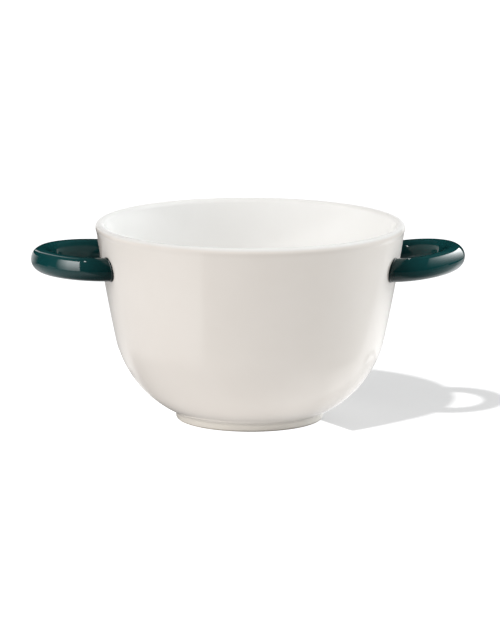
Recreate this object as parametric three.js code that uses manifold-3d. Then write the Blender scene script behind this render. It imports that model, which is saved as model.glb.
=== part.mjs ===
// A two-handled soup bowl in glazed ceramic.
// The round body stands on a foot ring, and two loop handles are luted to its wall below the rim.
// Millimetres, +Z up. The origin is on the bowl's axis, in the plane that the foot stands on.
// The handles lie along X, and -Y is the front.
import * as THREE from "three";
import { mergeVertices } from "three/addons/utils/BufferGeometryUtils.js";
import Module from "manifold-3d";

const wasm = await Module();
wasm.setup();

const { degToRad } = THREE.MathUtils;

// Body
const RIM_RADIUS = 65; // outside, over the lip
const HEIGHT = 83.3;
const WALL = 3.6;
const LIP_PROUD = 0.3; // how far the round lip stands out from the wall's outside
const FLOOR_THICKNESS = 5; // over the middle of the underside
const RIM_LEAN = degToRad(8); // of the wall from upright, at the lip
const BELLY_LEAN = degToRad(12); // of the wall from upright, where the belly starts
const BELLY_TOP = 34.4; // height at which the belly starts to turn in

// Foot ring
const FOOT_RADIUS = 31;
const FOOT_HEIGHT = 3.3; // up to where the belly would meet its outer face
const FOOT_WIDTH = 4.8;
const FOOT_ROUND = 0.8; // on both edges of the standing face
const FOOT_FILLET = 1.2; // between the outer face and the belly
const FOOT_RECESS = 2.6; // depth of the underside within the ring
const RECESS_FILLET = 0.9;
const UNDERSIDE_RISE = 0.6; // of the underside, from the ring to the axis

// Handles: each loop is luted on by hand, with its own reach, spread, depth and tilt.
const ROD_RADIUS = 4.9;
const HANDLE_DROP = 16.4; // from the rim to the middle of the rod at the wall
const LEFT_REACH = 29.4; // from the wall to the outside of the loop
const LEFT_SPREAD = 45.2; // between the middles of the loop's two arms, where it is widest
const LEFT_DEPTH = 22.5; // from there to the middle of the rod at the tip
const LEFT_TILT = degToRad(1.7); // of the tip, upwards
const RIGHT_REACH = 27.6;
const RIGHT_SPREAD = 43.2;
const RIGHT_DEPTH = 18.6;
const RIGHT_TILT = degToRad(6.3);
const LOOP_SWING = degToRad(130); // of either half of a loop, from its tip to its end inside the wall
const ARM_SWING = degToRad(70); // where the stretch that a joint may hold starts

// Luted joints between a handle's ends and the wall
const LUTE_THICKNESS = 0.8;
const LUTE_PROUD = 0.3; // of the bead round the rod
const JOINT_GAP = 0.3; // between neighbouring solids

// Facets
const TURN_SEGMENTS = 72;
const UNDERSIDE_STEPS = 2;
const EDGE_STEPS = 3;
const BELLY_STEPS = 10;
const FLARE_STEPS = 4;
const LIP_STEPS = 8;
const ROD_SIDES = 20;
const LOOP_STEPS = 44;
const ARM_STEPS = 8;

const PORCELAIN = new THREE.MeshStandardMaterial({ color: 0xece6df, roughness: 0.18, metalness: 0 });
const GREEN_GLAZE = new THREE.MeshStandardMaterial({ color: 0x0d3331, roughness: 0.12, metalness: 0 });
const POOLED_GLAZE = new THREE.MeshStandardMaterial({ color: 0x0a2423, roughness: 0.15, metalness: 0 });

// Where the body's arcs lie: x is the distance from the axis, y the height.
// A wall that leans out by an angle faces down by the same angle.
const RIGHT_ANGLE = Math.PI / 2;
const lip = lipArc();
const flare = flareArc();
const belly = bellyArc();
const fillet = filletArc();
const basin = basinArc();
const handleHeight = HEIGHT - HANDLE_DROP;
const rootRadius = flare.centre.x + Math.sqrt(flare.radius ** 2 - (handleHeight - flare.centre.y) ** 2);

function polar(centre, radius, angle) {
  return new THREE.Vector2(Math.cos(angle), Math.sin(angle)).multiplyScalar(radius).add(centre);
}

function arc(centre, radius, from, to, steps) {
  return new THREE.EllipseCurve(centre.x, centre.y, radius, radius, from, to, from > to).getPoints(steps);
}

// The full round of the lip: it runs into the wall's inside, and its start stands proud of the outside
function lipArc() {
  const radius = (WALL + LIP_PROUD) / 2;
  const overhang = Math.acos((radius - LIP_PROUD) / radius);
  const centre = new THREE.Vector2(RIM_RADIUS - radius, HEIGHT - radius);
  return { centre, radius, overhang, from: -RIM_LEAN - overhang, to: Math.PI - RIM_LEAN };
}

// The outside of the wall from the lip down to the belly
function flareArc() {
  const toOutside = lip.radius - LIP_PROUD;
  const drop = lip.centre.y - toOutside * Math.sin(RIM_LEAN) - BELLY_TOP;
  const radius = drop / (Math.sin(BELLY_LEAN) - Math.sin(RIM_LEAN));
  const top = -RIM_LEAN - Math.asin((lip.radius * Math.sin(lip.overhang)) / radius);
  return { centre: polar(lip.centre, toOutside - radius, -RIM_LEAN), radius, top };
}

// The outside of the belly, tangent to the wall above and aimed at the foot
function bellyArc() {
  const start = polar(flare.centre, flare.radius, -BELLY_LEAN);
  const normal = polar(new THREE.Vector2(), 1, -BELLY_LEAN);
  const chord = new THREE.Vector2(FOOT_RADIUS, FOOT_HEIGHT).sub(start);
  const radius = -chord.lengthSq() / (2 * chord.dot(normal));
  return { centre: polar(start, -radius, -BELLY_LEAN), radius };
}

// The hollow between the foot's upright face and the belly
function filletArc() {
  const x = FOOT_RADIUS + FOOT_FILLET;
  const drop = Math.sqrt((belly.radius + FOOT_FILLET) ** 2 - (x - belly.centre.x) ** 2);
  const centre = new THREE.Vector2(x, belly.centre.y - drop);
  return { centre, radius: FOOT_FILLET, angle: centre.clone().sub(belly.centre).angle() - 2 * Math.PI };
}

// The inside below the wall, tangent to the wall and to the level floor
function basinArc() {
  const start = polar(flare.centre, flare.radius - WALL, -BELLY_LEAN);
  const floor = FOOT_RECESS + UNDERSIDE_RISE + FLOOR_THICKNESS;
  const radius = (start.y - floor) / (1 - Math.sin(BELLY_LEAN));
  return { centre: polar(start, -radius, -BELLY_LEAN), radius, floor };
}

// The outside of belly and wall, from the foot's fillet up to the lip, moved out by an offset
function outsideWall(offset) {
  return [
    ...arc(belly.centre, belly.radius + offset, fillet.angle, -BELLY_LEAN, BELLY_STEPS),
    ...arc(flare.centre, flare.radius + offset, -BELLY_LEAN, flare.top, FLARE_STEPS).slice(1),
  ];
}

function insideWall() {
  return [
    ...arc(flare.centre, flare.radius - WALL, -RIM_LEAN, -BELLY_LEAN, FLARE_STEPS).slice(1),
    ...arc(basin.centre, basin.radius, -BELLY_LEAN, -RIGHT_ANGLE, BELLY_STEPS).slice(1),
    new THREE.Vector2(0, basin.floor),
  ];
}

// The underside and the foot ring, from the axis out to the fillet
function footProfile() {
  const inner = FOOT_RADIUS - FOOT_WIDTH;
  const span = inner - RECESS_FILLET;
  const domeRadius = (span ** 2 + UNDERSIDE_RISE ** 2) / (2 * UNDERSIDE_RISE);
  const dome = new THREE.Vector2(0, FOOT_RECESS + UNDERSIDE_RISE - domeRadius);
  const recessCorner = new THREE.Vector2(span, FOOT_RECESS - RECESS_FILLET);
  const innerEdge = new THREE.Vector2(inner + FOOT_ROUND, FOOT_ROUND);
  const outerEdge = new THREE.Vector2(FOOT_RADIUS - FOOT_ROUND, FOOT_ROUND);
  return [
    ...arc(dome, domeRadius, RIGHT_ANGLE, Math.acos(span / domeRadius), UNDERSIDE_STEPS),
    ...arc(recessCorner, RECESS_FILLET, RIGHT_ANGLE, 0, EDGE_STEPS).slice(1),
    ...arc(innerEdge, FOOT_ROUND, -2 * RIGHT_ANGLE, -RIGHT_ANGLE, EDGE_STEPS),
    ...arc(outerEdge, FOOT_ROUND, -RIGHT_ANGLE, 0, EDGE_STEPS),
    ...arc(fillet.centre, fillet.radius, Math.PI, Math.PI + fillet.angle, EDGE_STEPS),
  ];
}

// A profile turned about the bowl's axis
function turned(profile) {
  return new THREE.LatheGeometry(profile, TURN_SEGMENTS).rotateX(RIGHT_ANGLE);
}

function bodyGeometry() {
  const lipRound = arc(lip.centre, lip.radius, lip.from, lip.to, LIP_STEPS);
  return turned([...footProfile(), ...outsideWall(0).slice(1), ...lipRound.slice(1), ...insideWall()]);
}

// Solids for cutting, and back to geometry
function solidOf(geometry) {
  const bare = geometry.clone();
  bare.deleteAttribute("normal");
  bare.deleteAttribute("uv");
  const merged = mergeVertices(bare);
  const vertProperties = new Float32Array(merged.attributes.position.array);
  const triVerts = new Uint32Array(merged.index.array);
  return new wasm.Manifold(new wasm.Mesh({ numProp: 3, vertProperties, triVerts }));
}

function geometryOf(solid) {
  const { vertProperties, triVerts } = solid.getMesh();
  const geometry = new THREE.BufferGeometry();
  geometry.setAttribute("position", new THREE.BufferAttribute(new Float32Array(vertProperties), 3));
  geometry.setIndex(new THREE.BufferAttribute(new Uint32Array(triVerts), 1));
  geometry.computeVertexNormals();
  return geometry;
}

// All that lies within the wall's outside, moved out by an offset
function withinWall(offset) {
  const wall = outsideWall(offset);
  const bottom = new THREE.Vector2(0, wall[0].y);
  const top = new THREE.Vector2(0, wall.at(-1).y);
  return solidOf(turned([bottom, ...wall, top]));
}

const handleSeat = withinWall(2 * JOINT_GAP + LUTE_THICKNESS);
const luteLayer = withinWall(JOINT_GAP + LUTE_THICKNESS).subtract(withinWall(JOINT_GAP));

// The level elliptical arc of a loop, between two swings from its tip
class LoopArc extends THREE.Curve {
  constructor({ reach, spread, depth }, from, to) {
    super();
    this.widest = rootRadius + reach - ROD_RADIUS - depth;
    Object.assign(this, { spread, depth, from, to });
  }

  getPoint(t, target = new THREE.Vector3()) {
    const angle = this.from + (this.to - this.from) * t;
    const x = this.widest + this.depth * Math.cos(angle);
    return target.set(x, (Math.sin(angle) * this.spread) / 2, 0);
  }
}

// A round rod along a level curve, tipped up about the wall and lifted to the handle's height
function rod(curve, radius, steps, tilt) {
  const section = new THREE.Shape().absarc(0, 0, radius, 0, 2 * Math.PI);
  const options = { extrudePath: curve, steps, curveSegments: ROD_SIDES / 2 };
  const geometry = new THREE.ExtrudeGeometry(section, options);
  geometry.translate(-rootRadius, 0, 0).rotateY(-tilt).translate(rootRadius, 0, handleHeight);
  return solidOf(geometry);
}

function part(name, geometry, material) {
  const mesh = new THREE.Mesh(geometry, material);
  mesh.name = name;
  return mesh;
}

// One handle with its two luted joints, pointing along +X before the group is turned
function handle({ name, turn, frontArm, tilt, ...shape }) {
  const group = new THREE.Group();
  group.rotation.z = turn;
  const wholeLoop = new LoopArc(shape, -LOOP_SWING, LOOP_SWING);
  const loop = rod(wholeLoop, ROD_RADIUS, LOOP_STEPS, tilt).subtract(handleSeat);
  group.add(part(`${name}_handle`, geometryOf(loop), GREEN_GLAZE));
  for (const [place, side] of [["front", frontArm], ["rear", -frontArm]]) {
    const arm = new LoopArc(shape, side * LOOP_SWING, side * ARM_SWING);
    const bead = rod(arm, ROD_RADIUS + LUTE_PROUD, ARM_STEPS, tilt).intersect(luteLayer);
    group.add(part(`${name}_${place}_lute`, geometryOf(bead), POOLED_GLAZE));
  }
  return group;
}

const bowl = new THREE.Group();
bowl.add(part("bowl_body", bodyGeometry(), PORCELAIN));
const leftLoop = { reach: LEFT_REACH, spread: LEFT_SPREAD, depth: LEFT_DEPTH, tilt: LEFT_TILT };
const rightLoop = { reach: RIGHT_REACH, spread: RIGHT_SPREAD, depth: RIGHT_DEPTH, tilt: RIGHT_TILT };
bowl.add(handle({ name: "left", turn: Math.PI, frontArm: 1, ...leftLoop }));
bowl.add(handle({ name: "right", turn: 0, frontArm: -1, ...rightLoop }));

export default bowl;
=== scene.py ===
"""Looks of a two-handled soup bowl: warm white porcelain, bottle-green loop handles and their luted joints.

Every piece is in metres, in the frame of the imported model: the bowl's axis is Z, the handles lie along X,
and the front faces -Y.
"""
import math

import bpy
from mathutils import Matrix, Vector


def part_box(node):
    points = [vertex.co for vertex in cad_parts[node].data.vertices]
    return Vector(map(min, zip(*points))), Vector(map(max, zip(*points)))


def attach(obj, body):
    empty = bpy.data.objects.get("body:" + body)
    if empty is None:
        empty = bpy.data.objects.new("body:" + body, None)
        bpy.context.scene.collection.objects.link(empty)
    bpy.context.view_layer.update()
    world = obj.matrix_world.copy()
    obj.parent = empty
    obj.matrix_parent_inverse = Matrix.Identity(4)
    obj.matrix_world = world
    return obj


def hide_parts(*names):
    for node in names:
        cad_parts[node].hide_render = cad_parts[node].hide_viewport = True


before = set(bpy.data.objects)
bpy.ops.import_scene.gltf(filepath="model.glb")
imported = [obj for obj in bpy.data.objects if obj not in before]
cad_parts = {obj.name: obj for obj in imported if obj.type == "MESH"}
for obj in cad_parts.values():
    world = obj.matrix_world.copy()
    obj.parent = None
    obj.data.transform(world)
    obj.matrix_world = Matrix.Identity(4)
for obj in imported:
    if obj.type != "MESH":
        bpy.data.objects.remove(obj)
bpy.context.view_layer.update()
_, BODY_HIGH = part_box("bowl_body")

MM = 0.001

# Sizes of the body
RIM_RADIUS = BODY_HIGH.x
HEIGHT = BODY_HIGH.z
WALL = 3.6 * MM
LIP_PROUD = 0.3 * MM
FLOOR_THICKNESS = 5 * MM
RIM_LEAN = math.radians(8)
BELLY_LEAN = math.radians(12)
BELLY_TOP = 34.4 * MM
FOOT_RADIUS = 31 * MM
FOOT_HEIGHT = 3.3 * MM
FOOT_WIDTH = 4.8 * MM
FOOT_ROUND = 0.8 * MM
FOOT_FILLET = 1.2 * MM
FOOT_RECESS = 2.6 * MM
RECESS_FILLET = 0.9 * MM
UNDERSIDE_RISE = 0.6 * MM

# Sizes of the handles and their joints: turn sets a loop on its side of the bowl,
# and front is the sign of the swing from its tip to its front arm
ROD_RADIUS = 4.9 * MM
HANDLE_DROP = 16.4 * MM
HANDLES = {
    "left": {
        "turn": math.pi,
        "front": 1,
        "reach": 29.4 * MM,
        "spread": 45.2 * MM,
        "depth": 22.5 * MM,
        "tilt": math.radians(1.7),
    },
    "right": {
        "turn": 0.0,
        "front": -1,
        "reach": 27.6 * MM,
        "spread": 43.2 * MM,
        "depth": 18.6 * MM,
        "tilt": math.radians(6.3),
    },
}
ARM_SWING = math.radians(70)  # from a loop's tip to where the search for the wall starts
LOOP_SWING = math.radians(130)  # from a loop's tip to its end inside the wall
LUTE_PROUD = 0.3 * MM
LUTE_WIDTH = 1.0 * MM
EMBED = 0.25 * MM  # how far a handle and its beads sink into the glaze of the wall

# Fineness of the meshes
TURN_SEGMENTS = 256
PROFILE_STEP = 0.45 * MM
SOFTENING_PASSES = 3
LIP_JOIN_POINTS = 3  # points at the top of the wall's outside that the lip takes up
ROD_SIDES = 64
LOOP_STEPS = 120
BEAD_SIDES = 16
WALL_HALVINGS = 40  # of the stretch in which a rod meets the wall

# A step is (from, to, start, end): it eases from start to end while a value runs between the first two.
# A noise is (scale, detail), and colour stops are pairs of a place and a colour.

# White glaze, and the bare clay that the bowl stands on; the inside, lip and foot colours hold painted light
# and shade
MOTTLE_NOISE = (55, 3)
OUTSIDE_STOPS = ((0.3, (0.820, 0.763, 0.705)), (0.7, (0.834, 0.779, 0.723)))
# Painted light: the inside is lighter and cooler than the outside
INSIDE_PAINTED_LIGHT_STOPS = ((0.3, (0.878, 0.866, 0.843)), (0.7, (0.889, 0.878, 0.858)))
INSIDE_PAINTED_LIGHT_EDGE = (-30 * MM, 30 * MM, 1, 0)
# Painted shade: the lip is darker than the inside
LIP_PAINTED_SHADE_STOPS = ((0.3, (0.832, 0.811, 0.782)), (0.7, (0.842, 0.822, 0.795)))
LIP_PAINTED_SHADE_EDGE = (HEIGHT - 1.6 * MM, HEIGHT - 0.5 * MM, 0, 1)
# Painted shade: a warmer tone on the foot ring
FOOT_PAINTED_SHADE_STOPS = ((0.3, (0.822, 0.768, 0.694)), (0.7, (0.836, 0.783, 0.711)))
FOOT_PAINTED_SHADE_EDGE = (2.4 * MM, 4.4 * MM, 1, 0)
CLAY_NOISE = (900, 4)
CLAY_STOPS = ((0.3, (0.62, 0.55, 0.47)), (0.7, (0.70, 0.63, 0.55)))
CLAY_EDGE = (0.5 * MM, 0.8 * MM, 1, 0)
WHITE_ROUGHNESS = 0.09
CLAY_ROUGHNESS = 0.8
WHITE_IOR = 1.62
WHITE_RIPPLE_NOISE = (70, 1)

# Green glaze, painted lighter towards the tips of the loops and darker near the wall, as painted light and
# shade
GREEN_NOISE = (120, 3)
GREEN_MOTTLE = 0.3
# Painted light and shade: darker near the wall, lighter towards the tips
GREEN_PAINTED_TIP_LIGHT = (0.085, 0.115, 0, 1)
GREEN_STOPS = ((0.15, (0.0004, 0.007, 0.0073)), (1.0, (0.0055, 0.050, 0.052)))
POOLED_STOPS = ((0.15, (0.0004, 0.006, 0.0063)), (1.0, (0.003, 0.022, 0.023)))
GREEN_ROUGHNESS = 0.06
GREEN_SPECULAR = 0.36
GREEN_RIPPLE_NOISE = (110, 1)

RIPPLE_HEIGHT = 0.03 * MM

# Camera, fitted to the photograph's outline
CAMERA_DISTANCE = 1.922
CAMERA_ELEVATION = math.radians(10.848)
FRONT_VIEW = Vector((0.0, math.cos(CAMERA_ELEVATION), -math.sin(CAMERA_ELEVATION)))
CAMERA_ROLL = math.radians(0.211)
CAMERA_TARGET = Vector((0.0, 0.0, 0.04475))
CAMERA_CLIP = (0.05, 50)
FOCAL_PIXELS = 4576.0
FRAME_HEIGHT_PIXELS = 625
SENSOR_WIDTH = 36.0

# Key lamp: it lights the floor, where the bowl casts its shadow
KEY_DIRECTION = Vector((0.248, 0.457, -0.854))
KEY_ANGLE = math.radians(3)
KEY_STRENGTH = 6.5

# Fill from the studio round the bowl: azimuth from the front towards the right, elevation and radiance
FILL_FOCUS = 5.0
FILLS = {
    "left": (-45, 14, 1.78),
    "left_high": (-48, 38, 1.42),
    "right": (102, 13, 3.12),
    "right_rear": (125, 26, 0.5),
    "rear": (180, 25, 2.3),
    "front": (0, 0, 0.22),
    "right_high": (84, 50, 0.45),
    "top": (0, 60, 0.33),
}

# The studio's white is cooler on the right
COOL_EDGE = (0.2, 0.9, 0, 1)
COOL_STOPS = ((0.0, (1.0, 1.0, 1.0)), (1.0, (0.92, 0.97, 1.0)))

# The white floor as the camera sees it: its glow fills the shadow, more so near the foot,
# and takes the shadow away on the left of a slanting edge
FLOOR_SIZE = 12.0
FLOOR_ALBEDO = 0.25
FLOOR_GLOW = 0.445
GLOW_NEAR = (0.035, 0.075, 0.045, 0)
GLOW_SLANT = 0.6
GLOW_LEFT = (0.0240, 0.0275, 0.6, 0)

# The light that the floor sends up: what it scatters, and a glow under and round the bowl.
# The glow lies a little to the right, and leaves a gap along the foot's edge.
BOUNCED_ALBEDO = 0.203
BOUNCE_SHIFT = 0.003
BOUNCE_GLOW = (0.046, 0.11, 0.5, 0)
BOUNCE_WITHIN = (0.0292, 0.030, 1, 0)
BOUNCE_BEYOND = (0.030, 0.035, 0, 1)

# The floor as the glaze mirrors it: a share of it in front, and what each side adds to that.
# The steps run over azimuths in degrees, from the front towards the right, or over distances in metres.
MIRROR_FRONT = 0.2
LEFT_SIDE = (-35, -29, 0.8, 0)
LEFT_BEHIND = (-150, -100, 0.3, 1)
LEFT_NEAR = (0.072, 0.14, 0, 1)
LEFT_NEAR_REAR = (-115, -92, 1.2, 0)  # the least that the step above gives towards the rear
RIGHT_SIDE = (50, 105, 0, 0.95)
RIGHT_BEHIND = (115, 160, 1, 0.25)
STRIP_SIDE = (52, 66, 0, 0.5)
STRIP_SLANT = -1.2
STRIP_END = (0.105, 0.121, 1, 0)
PATCH_SIDE = (5, 40, 0, 0.7)
PATCH_BEHIND = (50, 85, 1, 0.2)
PATCH_END = (0.065, 0.1, 1, 0)
SIDES_FAR = (0.19, 0.30, 1, 0.5)
TABLE_EDGE = (-0.29, -0.26, 0, 1)  # along Y, where the table ends in front

# What the glaze mirrors above the floor: a dim room, and soft boxes for one handle each.
# A soft box is a grid of glow. Its columns and rows are the facings of a glaze that mirror it to the front:
# turned from the front towards the left, and tipped up from level, in degrees.
ROOM_SHEEN = 0.06
SOFT_BOX_REACH = 0.3
SOFT_BOXES = {
    "left_front": {
        "handle": "left",
        "near": Vector((-0.075, -0.025, 0.067)),
        "turns": (13, 19, 25, 31, 38),
        "tips": (-16, -8, 2, 12, 24, 36, 47),
        "across": (1, 1, 0.9, 0.45, 0),
        "up": (1.5, 2.5, 4, 6, 9, 11, 12),
    },
    "left_strip": {
        "handle": "left",
        "near": Vector((-0.084, -0.008, 0.070)),
        "turns": (10, 30, 50, 70, 86),
        "tips": (62, 65, 68, 71),
        "droops": (0, 0, 1, 10, 22),
        "across": (0.3, 1.1, 1.1, 1, 0.9),
        "up": (0, 1.5, 1.5, 0),
    },
    "left_rear": {
        "handle": "left",
        "near": Vector((-0.090, 0.0, 0.068)),
        "turns": (62, 68, 75, 82, 89),
        "tips": (-30, -10, 8, 22, 36),
        "across": (0, 0.6, 1, 1, 1),
        "up": (0.1, 0.4, 1, 1, 1),
    },
    "left_glint": {
        "handle": "left",
        "near": Vector((-0.069, -0.026, 0.070)),
        "turns": (8, 10),
        "tips": (47.5, 52.5),
        "across": (1, 1),
        "up": (16, 16),
    },
    "right_glint": {
        "handle": "right",
        "near": Vector((0.067, 0.0176, 0.0697)),
        "reach": 0.03,
        "turns": (3.5, 5.5),
        "tips": (33, 39),
        "across": (1, 1),
        "up": (24, 24),
    },
    "right_front": {
        "handle": "right",
        "near": Vector((0.086, -0.008, 0.069)),
        "turns": (-16, -30, -44, -60, -80),
        "tips": (8, 18, 28, 40, 50, 56),
        "across": (0.15, 0.5, 0.9, 1, 0.7),
        "up": (0.3, 1.1, 2.8, 5.6, 8.6, 8.6),
    },
}

# A pale backdrop that only the bowl mirrors: how far and wide it stands, and its glow at each height
BACKDROP_REACH = 0.5
BACKDROP_TURNS = [math.radians(turn) for turn in range(-90, 91, 10)]
BACKDROP_GLOWS = ((0.0, 0.8), (0.1, 0.8), (0.2, 0.5), (0.4, 0.0))


# Profile of the body: pairs of distance from the axis and height

def polar(centre, radius, angle):
    return Vector((centre.x + radius * math.cos(angle), centre.y + radius * math.sin(angle)))


def arc(centre, radius, start, end):
    steps = max(2, math.ceil(abs(end - start) * radius / PROFILE_STEP))
    return [polar(centre, radius, start + (end - start) * i / steps) for i in range(steps + 1)]


def line(start, end):
    steps = max(1, math.ceil((end - start).length / PROFILE_STEP))
    return [start.lerp(end, i / steps) for i in range(steps + 1)]


class Profile:
    """The arcs of the body's section, worked out from its sizes."""

    def __init__(self):
        self.lip_radius = (WALL + LIP_PROUD) / 2
        self.lip = Vector((RIM_RADIUS - self.lip_radius, HEIGHT - self.lip_radius))
        to_outside = self.lip_radius - LIP_PROUD
        self.overhang = math.acos(to_outside / self.lip_radius)
        drop = self.lip.y - to_outside * math.sin(RIM_LEAN) - BELLY_TOP
        self.flare_radius = drop / (math.sin(BELLY_LEAN) - math.sin(RIM_LEAN))
        self.flare = polar(self.lip, to_outside - self.flare_radius, -RIM_LEAN)
        start = polar(self.flare, self.flare_radius, -BELLY_LEAN)
        chord = Vector((FOOT_RADIUS, FOOT_HEIGHT)) - start
        normal = polar(Vector((0, 0)), 1, -BELLY_LEAN)
        self.belly_radius = -chord.length_squared / (2 * chord.dot(normal))
        self.belly = polar(start, -self.belly_radius, -BELLY_LEAN)
        fillet_x = FOOT_RADIUS + FOOT_FILLET
        reach = (self.belly_radius + FOOT_FILLET) ** 2 - (fillet_x - self.belly.x) ** 2
        self.fillet = Vector((fillet_x, self.belly.y - math.sqrt(reach)))
        away = self.fillet - self.belly
        self.fillet_angle = math.atan2(away.y, away.x)
        self.floor = FOOT_RECESS + UNDERSIDE_RISE + FLOOR_THICKNESS
        inside = polar(self.flare, self.flare_radius - WALL, -BELLY_LEAN)
        self.basin_radius = (inside.y - self.floor) / (1 - math.sin(BELLY_LEAN))
        self.basin = polar(inside, -self.basin_radius, -BELLY_LEAN)

    def outside_radius(self, height):
        """Outer radius of the wall above the belly."""
        return self.flare.x + math.sqrt(self.flare_radius ** 2 - (height - self.flare.y) ** 2)

    def points(self):
        """The whole section, from the middle of the underside round to the middle of the floor inside."""
        inner = FOOT_RADIUS - FOOT_WIDTH
        span = inner - RECESS_FILLET
        dome_radius = (span ** 2 + UNDERSIDE_RISE ** 2) / (2 * UNDERSIDE_RISE)
        dome = Vector((0, FOOT_RECESS + UNDERSIDE_RISE - dome_radius))
        quarter = math.pi / 2
        stretches = [
            arc(dome, dome_radius, quarter, math.acos(span / dome_radius)),
            arc(Vector((span, FOOT_RECESS - RECESS_FILLET)), RECESS_FILLET, quarter, 0),
            arc(Vector((inner + FOOT_ROUND, FOOT_ROUND)), FOOT_ROUND, -math.pi, -quarter),
            arc(Vector((FOOT_RADIUS - FOOT_ROUND, FOOT_ROUND)), FOOT_ROUND, -quarter, 0),
            arc(self.fillet, FOOT_FILLET, math.pi, math.pi + self.fillet_angle),
            arc(self.belly, self.belly_radius, self.fillet_angle, -BELLY_LEAN),
            arc(self.flare, self.flare_radius, -BELLY_LEAN, -RIM_LEAN)[:-LIP_JOIN_POINTS],
            arc(self.lip, self.lip_radius, -RIM_LEAN - self.overhang, math.pi - RIM_LEAN),
            arc(self.flare, self.flare_radius - WALL, -RIM_LEAN, -BELLY_LEAN),
            arc(self.basin, self.basin_radius, -BELLY_LEAN, -quarter),
            [Vector((0, self.floor))],
        ]
        points = list(stretches[0])
        for stretch in stretches[1:]:
            points += line(points[-1], stretch[0])[1:] + stretch[1:]
        return softened(points)


def softened(points):
    """Eases the corners, as glaze does, and keeps the ends on the axis."""
    for _ in range(SOFTENING_PASSES):
        middle = [(a + 2 * b + c) / 4 for a, b, c in zip(points, points[1:], points[2:])]
        points = [points[0], *middle, points[-1]]
    return points


PROFILE = Profile()


# Meshes

def mesh_object(name, vertices, faces):
    mesh = bpy.data.meshes.new(name)
    mesh.from_pydata(vertices, [], faces)
    mesh.validate()
    mesh.polygons.foreach_set("use_smooth", [True] * len(mesh.polygons))
    mesh.update()
    piece = bpy.data.objects.new(name, mesh)
    bpy.context.scene.collection.objects.link(piece)
    return piece


def round_angles(count):
    return [2 * math.pi * i / count for i in range(count)]


def ring_faces(rings, count, close_rings=False):
    """Quads between rings of equal counts, and if asked from the last ring back to the first."""
    faces = []
    for ring in range(rings if close_rings else rings - 1):
        below, above = ring * count, (ring + 1) % rings * count
        for i in range(count):
            j = (i + 1) % count
            faces.append((below + i, below + j, above + j, above + i))
    return faces


def turned(name, profile):
    """A closed profile turned about Z, with a single point where it meets the axis at either end."""
    ring_points = profile[1:-1]
    turns = round_angles(TURN_SEGMENTS)
    vertices = [(p.x * math.cos(t), p.x * math.sin(t), p.y) for p in ring_points for t in turns]
    first, last = len(vertices), len(vertices) + 1
    vertices += [(0, 0, profile[0].y), (0, 0, profile[-1].y)]
    faces = ring_faces(len(ring_points), TURN_SEGMENTS)
    top = (len(ring_points) - 1) * TURN_SEGMENTS
    for i in range(TURN_SEGMENTS):
        j = (i + 1) % TURN_SEGMENTS
        faces.append((first, j, i))
        faces.append((last, top + i, top + j))
    return mesh_object(name, vertices, faces)


class Loop:
    """One handle's rod: an elliptical arc that runs into the wall, with its tip tilted up."""

    def __init__(self, turn, front, reach, spread, depth, tilt):
        self.front = front
        self.half_spread = spread / 2
        self.depth = depth
        height = HEIGHT - HANDLE_DROP
        root = PROFILE.outside_radius(height)
        self.widest = root + reach - ROD_RADIUS - depth
        tip_up = Matrix.Rotation(-tilt, 4, "Y")
        lift = Matrix.Translation((root, 0, height))
        self.place = Matrix.Rotation(turn, 4, "Z") @ lift @ tip_up @ Matrix.Translation((-root, 0, 0))

    def point(self, swing, across, up):
        """A point beside the rod's middle line, at a swing from the tip: across leads out of the loop."""
        along_x, along_y = math.cos(swing), math.sin(swing)
        middle = Vector((self.widest + self.depth * along_x, self.half_spread * along_y, 0))
        out = Vector((self.half_spread * along_x, self.depth * along_y, 0)).normalized()
        return self.place @ (middle + out * across + Vector((0, 0, up)))

    def wall_swing(self, side, across, up, clear):
        """The swing at which a line beside the rod is clear of the wall by a distance along the arm."""
        outside, inside = ARM_SWING, LOOP_SWING
        for _ in range(WALL_HALVINGS):
            middle = (outside + inside) / 2
            point = self.point(side * middle, across, up)
            if math.hypot(point.x, point.y) < PROFILE.outside_radius(point.z):
                inside = middle
            else:
                outside = middle
        speed = math.hypot(self.depth * math.sin(outside), self.half_spread * math.cos(outside))
        return side * (outside - clear / speed)

    def bead_point(self, side, angle, swing):
        """A point on the bead at one arm's end: angle goes round the rod, swing round the bead."""
        bulge = ROD_RADIUS - EMBED + (LUTE_PROUD + EMBED) * math.cos(swing)
        across, up = bulge * math.cos(angle), bulge * math.sin(angle)
        clear = LUTE_WIDTH / 2 * (1 + math.sin(swing)) - EMBED
        return self.point(self.wall_swing(side, across, up, clear), across, up)


def rod_mesh(name, loop):
    section = [(ROD_RADIUS * math.cos(t), ROD_RADIUS * math.sin(t)) for t in round_angles(ROD_SIDES)]
    starts = [loop.wall_swing(-1, *offset, -EMBED) for offset in section]
    ends = [loop.wall_swing(1, *offset, -EMBED) for offset in section]
    vertices = []
    for i in range(LOOP_STEPS + 1):
        share = i / LOOP_STEPS
        for offset, start, end in zip(section, starts, ends):
            vertices.append(loop.point(start + (end - start) * share, *offset))
    faces = ring_faces(LOOP_STEPS + 1, ROD_SIDES)
    faces.append(tuple(reversed(range(ROD_SIDES))))
    last = LOOP_STEPS * ROD_SIDES
    faces.append(tuple(range(last, last + ROD_SIDES)))
    return mesh_object(name, vertices, faces)


def bead_mesh(name, loop, side):
    swings = round_angles(BEAD_SIDES)
    vertices = [loop.bead_point(side, angle, swing) for angle in round_angles(ROD_SIDES) for swing in swings]
    return mesh_object(name, vertices, ring_faces(ROD_SIDES, BEAD_SIDES, close_rings=True))


def facing_out(piece):
    """Turns every face outwards."""
    bpy.context.view_layer.objects.active = piece
    bpy.ops.object.select_all(action="DESELECT")
    piece.select_set(True)
    bpy.ops.object.mode_set(mode="EDIT")
    bpy.ops.mesh.select_all(action="SELECT")
    bpy.ops.mesh.normals_make_consistent(inside=False)
    bpy.ops.object.mode_set(mode="OBJECT")
    return piece


# Shader nodes

def new_material(name):
    material = bpy.data.materials.new(name)
    material.use_nodes = True
    return material, material.node_tree, material.node_tree.nodes["Principled BSDF"]


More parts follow.
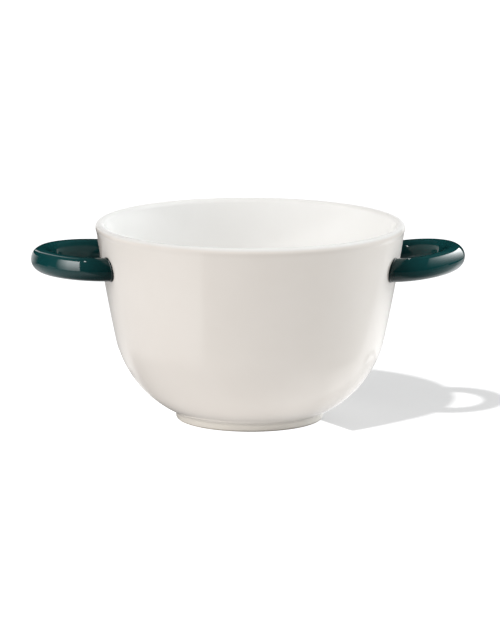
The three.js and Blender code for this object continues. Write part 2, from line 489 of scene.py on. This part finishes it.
def math_node(tree, operation, *values):
    """A Math node, each of whose inputs is a number or another node's output."""
    node = tree.nodes.new("ShaderNodeMath")
    node.operation = operation
    for socket, value in zip(node.inputs, values):
        if isinstance(value, (int, float)):
            socket.default_value = value
        else:
            tree.links.new(value, socket)
    return node.outputs[0]


def sum_node(tree, first, *terms):
    for term in terms:
        first = math_node(tree, "ADD", first, term)
    return first


def product_node(tree, first, *factors):
    for factor in factors:
        first = math_node(tree, "MULTIPLY", first, factor)
    return first


def step_node(tree, value, low, high, start, end):
    """A smooth step from start to end as the value runs from low to high."""
    node = tree.nodes.new("ShaderNodeMapRange")
    node.interpolation_type = "SMOOTHSTEP"
    tree.links.new(value, node.inputs["Value"])
    for name, number in (("From Min", low), ("From Max", high), ("To Min", start), ("To Max", end)):
        node.inputs[name].default_value = number
    return node.outputs["Result"]


def turn_step(tree, azimuth, low, high, start, end):
    """A smooth step over azimuths in degrees."""
    return step_node(tree, azimuth, math.radians(low), math.radians(high), start, end)


def vector_node(tree, operation, first, second=None):
    """A Vector Math node on a vector and, if given, a constant vector."""
    node = tree.nodes.new("ShaderNodeVectorMath")
    node.operation = operation
    tree.links.new(first, node.inputs[0])
    if second is not None:
        node.inputs[1].default_value = second
    return node


def object_position(tree):
    return tree.nodes.new("ShaderNodeTexCoord").outputs["Object"]


def split_node(tree, vector):
    node = tree.nodes.new("ShaderNodeSeparateXYZ")
    tree.links.new(vector, node.inputs["Vector"])
    return node.outputs


def noise_node(tree, position, scale, detail):
    node = tree.nodes.new("ShaderNodeTexNoise")
    tree.links.new(position, node.inputs["Vector"])
    node.inputs["Scale"].default_value = scale
    node.inputs["Detail"].default_value = detail
    return node.outputs["Fac"]


def ramp_node(tree, value, stops):
    """A colour ramp between two stops."""
    node = tree.nodes.new("ShaderNodeValToRGB")
    for element, (place, colour) in zip(node.color_ramp.elements, stops):
        element.position = place
        element.color = (*colour, 1)
    tree.links.new(value, node.inputs["Fac"])
    return node.outputs["Color"]


def ripple_node(tree, position, noise):
    """The faint waves of a glaze."""
    node = tree.nodes.new("ShaderNodeBump")
    node.inputs["Distance"].default_value = RIPPLE_HEIGHT
    tree.links.new(noise_node(tree, position, *noise), node.inputs["Height"])
    return node.outputs["Normal"]


def blend_node(tree, share, first, second):
    """Blends two colours."""
    node = tree.nodes.new("ShaderNodeMix")
    node.data_type = "RGBA"
    sockets = [socket for socket in node.inputs if socket.type == "RGBA"]
    tree.links.new(share, node.inputs["Factor"])
    tree.links.new(first, sockets[0])
    tree.links.new(second, sockets[1])
    return next(socket for socket in node.outputs if socket.type == "RGBA")


def ray_share(tree, camera, mirror, light):
    """Picks a strength for what the camera sees, what a glaze mirrors and what lights a surface."""
    path = tree.nodes.new("ShaderNodeLightPath")
    seen = math_node(tree, "MULTIPLY", path.outputs["Is Camera Ray"], camera)
    glossy = math_node(tree, "MULTIPLY", path.outputs["Is Glossy Ray"], mirror)
    neither = math_node(tree, "SUBTRACT", 1.0, path.outputs["Is Camera Ray"])
    neither = math_node(tree, "SUBTRACT", neither, path.outputs["Is Glossy Ray"])
    lit = math_node(tree, "MULTIPLY", neither, light)
    return sum_node(tree, seen, glossy, lit)


# Materials of the bowl

def painted_inside_light_share(tree, position):
    """Mask of the painted light inside the bowl: 1 where the surface faces the bowl's axis, 0 where it faces
    away.
    """
    level = vector_node(tree, "MULTIPLY", position, (1, 1, 0))
    facing = vector_node(tree, "DOT_PRODUCT", level.outputs["Vector"])
    tree.links.new(tree.nodes.new("ShaderNodeNewGeometry").outputs["Normal"], facing.inputs[1])
    return step_node(tree, facing.outputs["Value"], *INSIDE_PAINTED_LIGHT_EDGE)


def white_glaze():
    """Warm white porcelain, faintly mottled and bare where it stands: painted light makes the inside lighter
    and cooler, and painted shade makes the lip darker than the inside and the foot ring warmer.
    """
    material, tree, shader = new_material("white_glaze")
    position = object_position(tree)
    height = split_node(tree, position)["Z"]
    mottle = noise_node(tree, position, *MOTTLE_NOISE)
    outside = ramp_node(tree, mottle, OUTSIDE_STOPS)
    # painted light: a lighter, cooler copy of the glaze for the inside
    inside = ramp_node(tree, mottle, INSIDE_PAINTED_LIGHT_STOPS)
    glaze = blend_node(tree, painted_inside_light_share(tree, position), outside, inside)
    # painted shade on the lip
    lip_painted_shade = step_node(tree, height, *LIP_PAINTED_SHADE_EDGE)
    glaze = blend_node(tree, lip_painted_shade, glaze, ramp_node(tree, mottle, LIP_PAINTED_SHADE_STOPS))
    # painted shade on the foot ring
    foot_painted_shade = step_node(tree, height, *FOOT_PAINTED_SHADE_EDGE)
    glaze = blend_node(tree, foot_painted_shade, glaze, ramp_node(tree, mottle, FOOT_PAINTED_SHADE_STOPS))
    bare = step_node(tree, height, *CLAY_EDGE)
    clay = ramp_node(tree, noise_node(tree, position, *CLAY_NOISE), CLAY_STOPS)
    roughness = step_node(tree, bare, 0, 1, WHITE_ROUGHNESS, CLAY_ROUGHNESS)
    tree.links.new(blend_node(tree, bare, glaze, clay), shader.inputs["Base Color"])
    tree.links.new(roughness, shader.inputs["Roughness"])
    tree.links.new(ripple_node(tree, position, WHITE_RIPPLE_NOISE), shader.inputs["Normal"])
    shader.inputs["IOR"].default_value = WHITE_IOR
    return material


def green_glaze(name, stops):
    """Bottle-green glaze over white clay, deeper where it lies thick, with painted light and shade: darker
    near the wall, lighter towards the loops' tips.
    """
    material, tree, shader = new_material(name)
    position = object_position(tree)
    depth = noise_node(tree, position, *GREEN_NOISE)
    away = vector_node(tree, "LENGTH", position).outputs["Value"]
    # painted light towards the tips, painted shade near the wall
    painted_tip_light = step_node(tree, away, *GREEN_PAINTED_TIP_LIGHT)
    shade = math_node(tree, "MULTIPLY_ADD", depth, GREEN_MOTTLE, painted_tip_light)
    tree.links.new(ramp_node(tree, shade, stops), shader.inputs["Base Color"])
    tree.links.new(ripple_node(tree, position, GREEN_RIPPLE_NOISE), shader.inputs["Normal"])
    shader.inputs["Roughness"].default_value = GREEN_ROUGHNESS
    shader.inputs["Specular IOR Level"].default_value = GREEN_SPECULAR
    return material


# Materials of the stage

def left_mirror(tree, azimuth, away):
    """What the mirrored floor gains on the left: less behind the bowl, and less close to its side."""
    side = turn_step(tree, azimuth, *LEFT_SIDE)
    behind = turn_step(tree, azimuth, *LEFT_BEHIND)
    near = step_node(tree, away, *LEFT_NEAR)
    near = math_node(tree, "MAXIMUM", near, turn_step(tree, azimuth, *LEFT_NEAR_REAR))
    return product_node(tree, side, behind, near)


def right_mirror(tree, place, azimuth, away):
    """What the mirrored floor gains on the right, with a slanting strip and a patch near the bowl."""
    side = turn_step(tree, azimuth, *RIGHT_SIDE)
    slanting = math_node(tree, "MULTIPLY_ADD", place["Y"], STRIP_SLANT, place["X"])
    strip_end = step_node(tree, slanting, *STRIP_END)
    strip = product_node(tree, turn_step(tree, azimuth, *STRIP_SIDE), strip_end)
    patch_behind = turn_step(tree, azimuth, *PATCH_BEHIND)
    patch_end = step_node(tree, away, *PATCH_END)
    patch = product_node(tree, turn_step(tree, azimuth, *PATCH_SIDE), patch_behind, patch_end)
    behind = turn_step(tree, azimuth, *RIGHT_BEHIND)
    return product_node(tree, sum_node(tree, side, strip, patch), behind)


def mirror_share(tree, place, away):
    """How much of the floor the glaze mirrors at each place."""
    towards_front = math_node(tree, "MULTIPLY", place["Y"], -1.0)
    azimuth = math_node(tree, "ARCTAN2", place["X"], towards_front)
    left = left_mirror(tree, azimuth, away)
    right = right_mirror(tree, place, azimuth, away)
    sides = product_node(tree, sum_node(tree, left, right), step_node(tree, away, *SIDES_FAR))
    table = step_node(tree, place["Y"], *TABLE_EDGE)
    return product_node(tree, sum_node(tree, sides, MIRROR_FRONT), table)


def bounce_glow(tree, position, away):
    """The glow that lights the bowl from round its foot."""
    reach = vector_node(tree, "DISTANCE", position, (BOUNCE_SHIFT, 0, 0)).outputs["Value"]
    within = step_node(tree, away, *BOUNCE_WITHIN)
    beyond = step_node(tree, reach, *BOUNCE_BEYOND)
    return product_node(tree, step_node(tree, reach, *BOUNCE_GLOW), sum_node(tree, within, beyond))


def seen_glow(tree, place, away):
    """The glow of the floor as the camera sees it."""
    slanting = math_node(tree, "MULTIPLY_ADD", place["Y"], GLOW_SLANT, place["X"])
    left = step_node(tree, slanting, *GLOW_LEFT)
    near = step_node(tree, away, *GLOW_NEAR)
    return sum_node(tree, left, near, FLOOR_GLOW)


def open_from_below(tree, shader):
    """Makes a surface clear from its back."""
    geometry = tree.nodes.new("ShaderNodeNewGeometry")
    clear = tree.nodes.new("ShaderNodeBsdfTransparent")
    mix = tree.nodes.new("ShaderNodeMixShader")
    tree.links.new(geometry.outputs["Backfacing"], mix.inputs["Fac"])
    tree.links.new(shader.outputs["BSDF"], mix.inputs[1])
    tree.links.new(clear.outputs["BSDF"], mix.inputs[2])
    tree.links.new(mix.outputs["Shader"], tree.nodes["Material Output"].inputs["Surface"])


def floor_material():
    """White to the camera, with the bowl's shadow kept, and open from below."""
    material, tree, shader = new_material("studio_floor")
    shader.inputs["Roughness"].default_value = 1.0
    shader.inputs["Specular IOR Level"].default_value = 0.0
    shader.inputs["Emission Color"].default_value = (1, 1, 1, 1)
    position = object_position(tree)
    place = split_node(tree, position)
    away = vector_node(tree, "LENGTH", position).outputs["Value"]
    mirror = mirror_share(tree, place, away)
    mirrored_albedo = math_node(tree, "MULTIPLY", mirror, BOUNCED_ALBEDO)
    mirrored_glow = math_node(tree, "MULTIPLY", mirror, FLOOR_GLOW)
    albedo = ray_share(tree, FLOOR_ALBEDO, mirrored_albedo, BOUNCED_ALBEDO)
    glow = ray_share(tree, seen_glow(tree, place, away), mirrored_glow, bounce_glow(tree, position, away))
    tree.links.new(albedo, shader.inputs["Base Color"])
    tree.links.new(glow, shader.inputs["Emission Strength"])
    open_from_below(tree, shader)
    return material


def sheet_material(name):
    """A glow that the mesh holds at its vertices."""
    material, tree, shader = new_material(name)
    shader.inputs["Base Color"].default_value = (0, 0, 0, 1)
    shader.inputs["Specular IOR Level"].default_value = 0.0
    shader.inputs["Emission Color"].default_value = (1, 1, 1, 1)
    glow = tree.nodes.new("ShaderNodeAttribute")
    glow.attribute_name = "glow"
    tree.links.new(glow.outputs["Fac"], shader.inputs["Emission Strength"])
    return material


# Pieces

def add_piece(piece, material, node):
    piece.data.materials.append(material)
    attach(piece, "root")
    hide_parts(node)
    return piece


def build_pieces():
    """Adds every piece, and returns the bowl and the pieces of each handle."""
    white = white_glaze()
    green = green_glaze("green_glaze", GREEN_STOPS)
    pooled = green_glaze("pooled_glaze", POOLED_STOPS)
    bowl = facing_out(turned("porcelain_bowl", PROFILE.points()))
    add_piece(bowl, white, "bowl_body")
    handles = {}
    for name, sizes in HANDLES.items():
        loop = Loop(**sizes)
        rod = facing_out(rod_mesh(f"{name}_loop", loop))
        rod.visible_glossy = False  # the photograph's wall hardly mirrors its handles
        handles[name] = [add_piece(rod, green, f"{name}_handle")]
        for place, side in (("front", loop.front), ("rear", -loop.front)):
            bead = facing_out(bead_mesh(f"{name}_{place}_bead", loop, side))
            handles[name].append(add_piece(bead, pooled, f"{name}_{place}_lute"))
    return bowl, handles


# Stage

def light_only(source, receivers):
    """Lets a source light nothing but its receivers."""
    collection = bpy.data.collections.new(f"{source.name}_receivers")
    for receiver in receivers:
        collection.objects.link(receiver)
    source.light_linking.receiver_collection = collection


def fill_node(tree, direction, azimuth, elevation, strength):
    """Radiance that falls off round one direction."""
    azimuth, elevation = math.radians(azimuth), math.radians(elevation)
    level = math.cos(elevation)
    towards = (level * math.sin(azimuth), -level * math.cos(azimuth), math.sin(elevation))
    facing = vector_node(tree, "DOT_PRODUCT", direction, towards).outputs["Value"]
    facing = math_node(tree, "MAXIMUM", facing, 0.0)
    return math_node(tree, "MULTIPLY", math_node(tree, "POWER", facing, FILL_FOCUS), strength)


def build_world():
    """A studio that is white to the camera, fills from each side and is dim where the glaze mirrors it."""
    world = bpy.data.worlds.new("studio")
    bpy.context.scene.world = world
    world.use_nodes = True
    tree = world.node_tree
    direction = tree.nodes.new("ShaderNodeTexCoord").outputs["Generated"]
    light = sum_node(tree, *[fill_node(tree, direction, *fill) for fill in FILLS.values()])
    cool = step_node(tree, split_node(tree, direction)["X"], *COOL_EDGE)
    background = tree.nodes["Background"]
    tree.links.new(ramp_node(tree, cool, COOL_STOPS), background.inputs["Color"])
    tree.links.new(ray_share(tree, 1.0, ROOM_SHEEN, light), background.inputs["Strength"])


def build_floor():
    half = FLOOR_SIZE / 2
    corners = [(-half, -half, 0), (half, -half, 0), (half, half, 0), (-half, half, 0)]
    floor = mesh_object("studio_floor_plane", corners, [(0, 1, 2, 3)])
    floor.data.materials.append(floor_material())
    return floor


def build_sheet(name, vertices, columns, glows, receivers):
    """A sheet with a glow at each vertex, which shows only where its receivers mirror it."""
    faces = [
        (start, start + 1, start + columns + 1, start + columns)
        for row in range(len(vertices) // columns - 1)
        for start in range(row * columns, (row + 1) * columns - 1)
    ]
    sheet = mesh_object(name, vertices, faces)
    glow = sheet.data.attributes.new("glow", "FLOAT", "POINT")
    glow.data.foreach_set("value", glows)
    sheet.data.materials.append(sheet_material(name))
    sheet.visible_camera = False
    sheet.visible_diffuse = False
    sheet.visible_shadow = False
    light_only(sheet, receivers)


def build_backdrop(receivers):
    """A curved sheet behind the bowl."""
    vertices = [
        (BACKDROP_REACH * math.sin(turn), BACKDROP_REACH * math.cos(turn), height)
        for height, _ in BACKDROP_GLOWS
        for turn in BACKDROP_TURNS
    ]
    glows = [glow for _, glow in BACKDROP_GLOWS for _ in BACKDROP_TURNS]
    build_sheet("backdrop", vertices, len(BACKDROP_TURNS), glows, receivers)


def mirrored(turn, tip):
    """Where a facing sends the front view: turn towards the left and tip upwards, in degrees."""
    turn, tip = math.radians(turn), math.radians(tip)
    facing = Vector((-math.sin(turn) * math.cos(tip), -math.cos(turn) * math.cos(tip), math.sin(tip)))
    return FRONT_VIEW - 2 * FRONT_VIEW.dot(facing) * facing


def build_soft_box(
    name, handles, handle, near, turns, tips, across, up, reach=SOFT_BOX_REACH, droops=None
):
    """A glowing sheet that only one handle mirrors: each column may droop by its own angle."""
    droops = droops or [0] * len(turns)
    facings = [(turn, tip - droop) for tip in tips for turn, droop in zip(turns, droops)]
    vertices = [near + reach * mirrored(*facing) for facing in facings]
    glows = [rise * share for rise in up for share in across]
    build_sheet(name, vertices, len(turns), glows, handles[handle])


def build_key(receivers):
    """A far lamp that only its receivers see."""
    data = bpy.data.lights.new("key", "SUN")
    data.energy = KEY_STRENGTH
    data.angle = KEY_ANGLE
    key = bpy.data.objects.new("key", data)
    key.rotation_mode = "QUATERNION"
    key.rotation_quaternion = KEY_DIRECTION.to_track_quat("-Z", "Y")
    bpy.context.scene.collection.objects.link(key)
    light_only(key, receivers)


def build_camera():
    data = bpy.data.cameras.new("camera")
    data.sensor_width = SENSOR_WIDTH
    data.lens = SENSOR_WIDTH * FOCAL_PIXELS / FRAME_HEIGHT_PIXELS
    data.clip_start, data.clip_end = CAMERA_CLIP
    camera = bpy.data.objects.new("camera", data)
    camera.location = CAMERA_TARGET - FRONT_VIEW * CAMERA_DISTANCE
    camera.rotation_mode = "QUATERNION"
    aim = FRONT_VIEW.to_track_quat("-Z", "Y")
    camera.rotation_quaternion = aim @ Matrix.Rotation(CAMERA_ROLL, 3, "Z").to_quaternion()
    bpy.context.scene.collection.objects.link(camera)
    bpy.context.scene.camera = camera


build_camera()
bowl, handles = build_pieces()
build_world()
build_backdrop([bowl])
for box_name, box_grid in SOFT_BOXES.items():
    build_soft_box(f"{box_name}_soft_box", handles, **box_grid)
build_key([build_floor()])
bpy.context.scene.view_settings.view_transform = "Standard"
